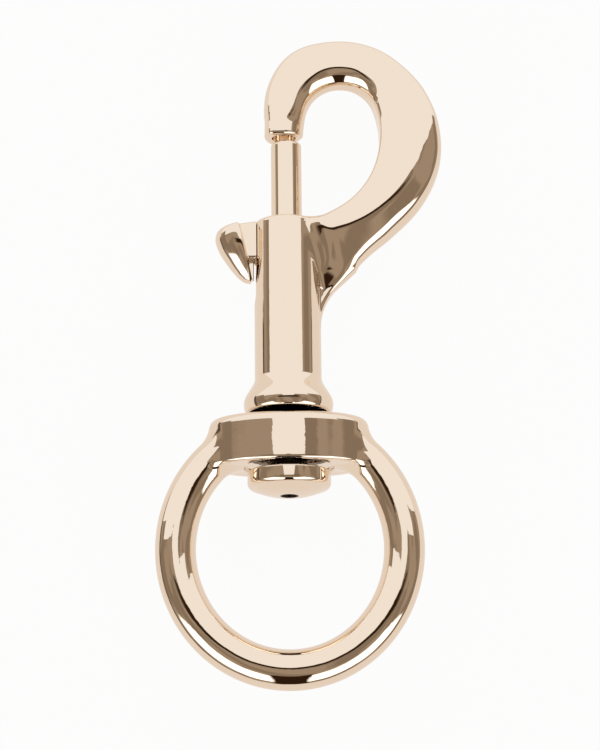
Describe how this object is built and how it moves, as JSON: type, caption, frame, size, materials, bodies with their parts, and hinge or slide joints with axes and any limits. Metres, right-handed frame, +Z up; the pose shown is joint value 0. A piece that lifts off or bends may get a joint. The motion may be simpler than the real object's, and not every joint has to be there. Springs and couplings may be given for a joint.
{
  "type": "swivel bolt snap hook",
  "caption": "Cast snap hook with a spring-loaded sliding bolt, a thumb knob, and an oval strap eye that swivels on a riveted pin.",
  "frame": {"origin": "bottom centre of the whole part as it lies flat", "axes": "+Y along the barrel and swivel axis towards the hook, +X towards the hook's arm, +Z up out of the hook's plane"},
  "size_m": [0.0402, 0.0926, 0.0134],
  "materials": {
    "plated_casting": "polished die casting with a champagne gold plating",
    "plated_turned": "turned and polished, champagne gold plating",
    "spring_wire": "drawn spring wire"
  },
  "bodies": {
    "hook": {"hook_body": "plated_casting", "swivel_pin": "plated_turned", "return_spring": "spring_wire"},
    "plunger": {"bolt": "plated_turned", "thumb_knob": "plated_casting"},
    "eye": {"swivel_eye": "plated_casting"}
  },
  "joints": [
    {"name": "bolt_slide", "type": "slide", "parent": "hook", "child": "plunger", "axis": [0, -1, 0], "range_m": [0, 0.008], "stiffness_N_per_m": 250, "springref_m": -0.006, "deforming": ["return_spring"]},
    {"name": "eye_swivel", "type": "hinge", "parent": "hook", "child": "eye", "pos_m": [-0.00186, -0.01263, 0.0067], "axis": [0, 1, 0], "continuous": true}
  ]
}
